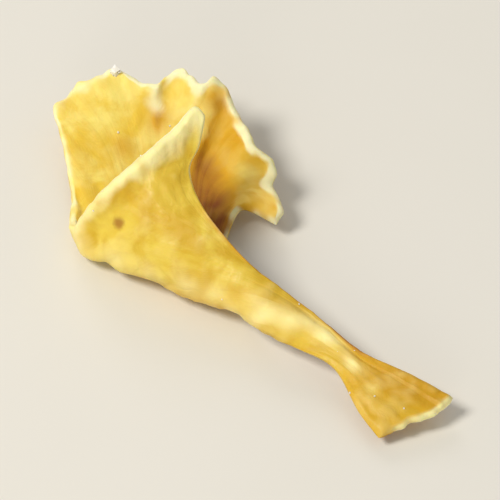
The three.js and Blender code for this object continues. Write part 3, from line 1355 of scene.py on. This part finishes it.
        # Painted shade along the stem's right side, darkest at that edge.
        dark = smooth_step(0.6, 0, sheet.from_right) * smooth_step(0.6, 0.5, along)
        outer_tint_and_shade += self.painted_side_shade * dark * smooth_step(0.1, 0.2, along)
        return inner_tint_and_shade, outer_tint_and_shade, pale

    @staticmethod
    def ridge_highlight(points: np.ndarray, facing: int) -> np.ndarray:
        """How far a point stands out from its surroundings, 0 to 1, the mask for painted highlights on
        raised folds.

        Args:
            points: Points of one face.
            facing: 1 for the outer face, -1 for the inner one.

        Returns:
            The mask.
        """
        normal = np.cross(np.gradient(points, axis=1), np.gradient(points, axis=0))
        eased = points
        for _ in range(30):
            padded = np.pad(eased, ((1, 1), (1, 1), (0, 0)), mode="edge")
            eased = padded[:-2, 1:-1] + padded[2:, 1:-1] + padded[1:-1, :-2] + padded[1:-1, 2:]
            eased = eased / 4
        stand = np.einsum("ijk,ijk->ij", points - eased, unit(normal) * -facing)
        return smooth_step(0.004, 0.05, stand)

    @staticmethod
    def depth(along: np.ndarray) -> np.ndarray:
        """Painted shade deep in the cup, brown where its walls run together."""
        return 0.85 * smooth_step(0.74, 0.54, along) * smooth_step(0.3, 0.42, along)


SQUARE = ((-0.5, -0.5), (0.5, -0.5), (0.5, 0.5), (-0.5, 0.5))
CRYSTAL_FACES = ((0, 3, 2, 1), (4, 5, 6, 7), (0, 1, 5, 4), (1, 2, 6, 5), (2, 3, 7, 6), (3, 0, 4, 7))


@dataclass
class SaltGrains:
    """Small crystals of dried sea salt, sunk a little into the skin, and three larger on the rim."""

    blade: Object
    seed: int = 5
    count: int = 14
    smallest: float = 0.025
    largest: float = 0.06
    sunk: float = 0.35
    lodged: tuple[tuple[float, float, float], ...] = (
        (-4.28, 6.96, 2.2),
        (-4.17, 6.93, 2.2),
        (-4.36, 6.88, 2.15),
    )
    lodged_sizes: tuple[float, ...] = (0.24, 0.15, 0.12)
    finish: SaltFinish = SaltFinish()

    def build(self) -> Object:
        """Builds the crystals as one mesh of closed grains.

        Returns:
            The grains' object.
        """
        rng = np.random.default_rng(self.seed)
        spots = self.spots(rng)
        points: list[np.ndarray] = []
        faces: list[tuple[int, ...]] = []
        sizes = [*rng.uniform(self.smallest, self.largest, self.count), *self.lodged_sizes]
        for (place, normal), width in zip(spots, sizes):
            size = width * MM
            corners = self.crystal(rng) * size
            turn = np.array(Vector(normal).to_track_quat("Z", "Y").to_matrix())
            base = place + normal * size * (1 - 2 * self.sunk) * 0.5
            start = 8 * len(points)
            points.append(corners @ turn.T + base)
            faces += [tuple(start + corner for corner in face) for face in CRYSTAL_FACES]
        grains = np.concatenate(points).tolist()
        return put_in_scene("salt_grains", new_mesh("salt_grains", grains, faces, self.finish.material()))

    def spots(self, rng: np.random.Generator) -> list[tuple[np.ndarray, np.ndarray]]:
        """Chooses places on the upper sides of the blade.

        Args:
            rng: The source of random draws.

        Returns:
            The place and direction of each grain.
        """
        mesh = self.blade.data
        places, normals = read_vertices(mesh, "co"), read_vertices(mesh, "normal")
        top = places[:, 2].max() - 2 * self.largest * MM
        reach = np.abs(places[:, :2]).max(axis=0) - 2 * self.largest * MM
        inside = (np.abs(places[:, :2]) < reach).all(axis=1)
        upper = np.flatnonzero((normals[:, 2] > 0.2) & (places[:, 2] < top) & inside)
        chosen = rng.choice(upper, self.count, replace=False)
        wanted = np.array(self.lodged) * MM
        lodged = [np.argmin(np.linalg.norm(places - place, axis=1)) for place in wanted]
        return [(places[i], normals[i]) for i in (*chosen, *lodged)]

    @staticmethod
    def crystal(rng: np.random.Generator) -> np.ndarray:
        """Draws a rough, slightly leaning crystal about 1 across.

        Args:
            rng: The source of random draws.

        Returns:
            Its eight corners.
        """
        box = np.array([(x, y, z) for z in (-0.5, 0.5) for x, y in SQUARE])
        box *= rng.uniform(0.7, 1.1, 3)
        box += rng.uniform(-0.14, 0.14, (8, 3))
        lean = rng.uniform(-0.3, 0.3, 2)
        box[:, 0] += box[:, 2] * lean[0]
        box[:, 1] += box[:, 2] * lean[1]
        turn = rng.uniform(0, 2 * math.pi)
        spin = np.array(Matrix.Rotation(turn, 3, "Z"))
        return box @ spin.T


@dataclass
class PaperFloor:
    """A wide, flat sheet of pale paper under the flake, larger than the picture shows."""

    radius: float = 700.0
    rings: int = 24
    spokes: int = 96
    finish: PaperFinish = PaperFinish()

    def build(self) -> Object:
        """Builds the sheet as a round of rings.

        Returns:
            The floor's object.
        """
        points = [(0.0, 0.0, 0.0)]
        for ring in range(1, self.rings + 1):
            reach = self.radius * MM * (ring / self.rings) ** 2
            for spoke in range(self.spokes):
                angle = 2 * math.pi * spoke / self.spokes
                points.append((reach * math.cos(angle), reach * math.sin(angle), 0.0))
        faces: list[tuple[int, ...]] = []
        for spoke in range(self.spokes):
            after = (spoke + 1) % self.spokes
            faces.append((0, 1 + spoke, 1 + after))
            for ring in range(self.rings - 1):
                a = 1 + ring * self.spokes
                b = a + self.spokes
                faces.append((a + spoke, b + spoke, b + after, a + after))
        mesh = new_mesh("paper_floor", points, faces, self.finish.material())
        mesh.shade_smooth()
        return put_in_scene("paper_floor", mesh)


@dataclass(frozen=True)
class SoftLight:
    """One large soft lamp that looks at the flake."""

    name: str
    place: tuple[float, float, float]
    width: float
    watts: float
    tint: str = "ffffff"

    def build(self) -> Object:
        """Builds the lamp.

        Returns:
            The lamp's object.
        """
        lamp = bpy.data.lights.new(self.name, "AREA")
        lamp.shape = "DISK"
        lamp.size = self.width * MM
        lamp.energy = self.watts
        lamp.color = linear_rgb(self.tint)[:3]
        made = put_in_scene(self.name, lamp)
        made.location = Vector(self.place) * MM
        made.rotation_euler = (-made.location).to_track_quat("-Z", "Y").to_euler()
        return made


@dataclass
class Studio:
    """Soft lamps, the pale room round them and how the picture is developed."""

    lamps: tuple[SoftLight, ...] = (
        SoftLight("key_lamp", (-140, -50, 200), 90, 0.42, "fffaf0"),
        SoftLight("back_lamp", (-60, 220, 150), 110, 0.1, "ffffff"),
        SoftLight("low_lamp", (-40, -230, 60), 110, 0.1, "fff8ea"),
    )
    room: str = "f4f1ea"
    room_strength: float = 0.4

    def build(self) -> None:
        """Sets the lamps and the room's light."""
        for lamp in self.lamps:
            lamp.build()
        world = bpy.data.worlds.new("pale_room")
        world.use_nodes = True
        ground = world.node_tree.nodes["Background"]
        ground.inputs["Color"].default_value = linear_rgb(self.room)
        ground.inputs["Strength"].default_value = self.room_strength
        scene = bpy.context.scene
        scene.world = world
        scene.view_settings.view_transform = "Standard"
        scene.view_settings.look = "None"


@dataclass
class PictureCamera:
    """The camera at the photograph's viewing angle, far off with a long lens."""

    elevation_deg: float = 46.0
    lens: float = 600.0
    sensor: float = 36.0
    fill: float = 0.8

    def build(self, blade: Object) -> Object:
        """Frames the blade in a square picture.

        Args:
            blade: The blade to frame.

        Returns:
            The camera's object.
        """
        lean = math.radians(self.elevation_deg)
        right = np.array([1.0, 0.0, 0.0])
        up = np.array([0.0, math.sin(lean), math.cos(lean)])
        away = np.array([0.0, math.cos(lean), -math.sin(lean)])
        places = read_vertices(blade.data, "co")
        spans = [(places @ axis).min() + (places @ axis).max() for axis in (right, up, away)]
        target = (spans[0] * right + spans[1] * up + spans[2] * away) / 2
        width = max(np.ptp(places @ right), np.ptp(places @ up)) / self.fill
        distance = width * self.lens / self.sensor
        camera = bpy.data.cameras.new("picture_camera")
        camera.lens = self.lens
        camera.sensor_width = self.sensor
        camera.clip_start = 0.01
        camera.clip_end = 10
        made = put_in_scene("picture_camera", camera)
        made.location = Vector(target - away * distance)
        made.rotation_euler = Vector(away).to_track_quat("-Z", "Y").to_euler()
        bpy.context.scene.camera = made
        return made


def main() -> None:
    """Builds the flake, its salt, the floor, the light and the camera, in that order."""
    logging.basicConfig(level=logging.INFO, format="%(name)s: %(message)s", force=True)
    blade = FlakeBlade(FrondForm()).build()
    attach(blade, "root")
    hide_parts("flake")
    log.info("%s: %d faces", blade.name, len(blade.data.polygons))
    grains = SaltGrains(blade).build()
    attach(grains, "root")
    log.info("%s: %d faces", grains.name, len(grains.data.polygons))
    floor = PaperFloor().build()
    log.info("%s: %d faces", floor.name, len(floor.data.polygons))
    Studio().build()
    PictureCamera().build(blade)


if __name__ == "__main__":
    main()
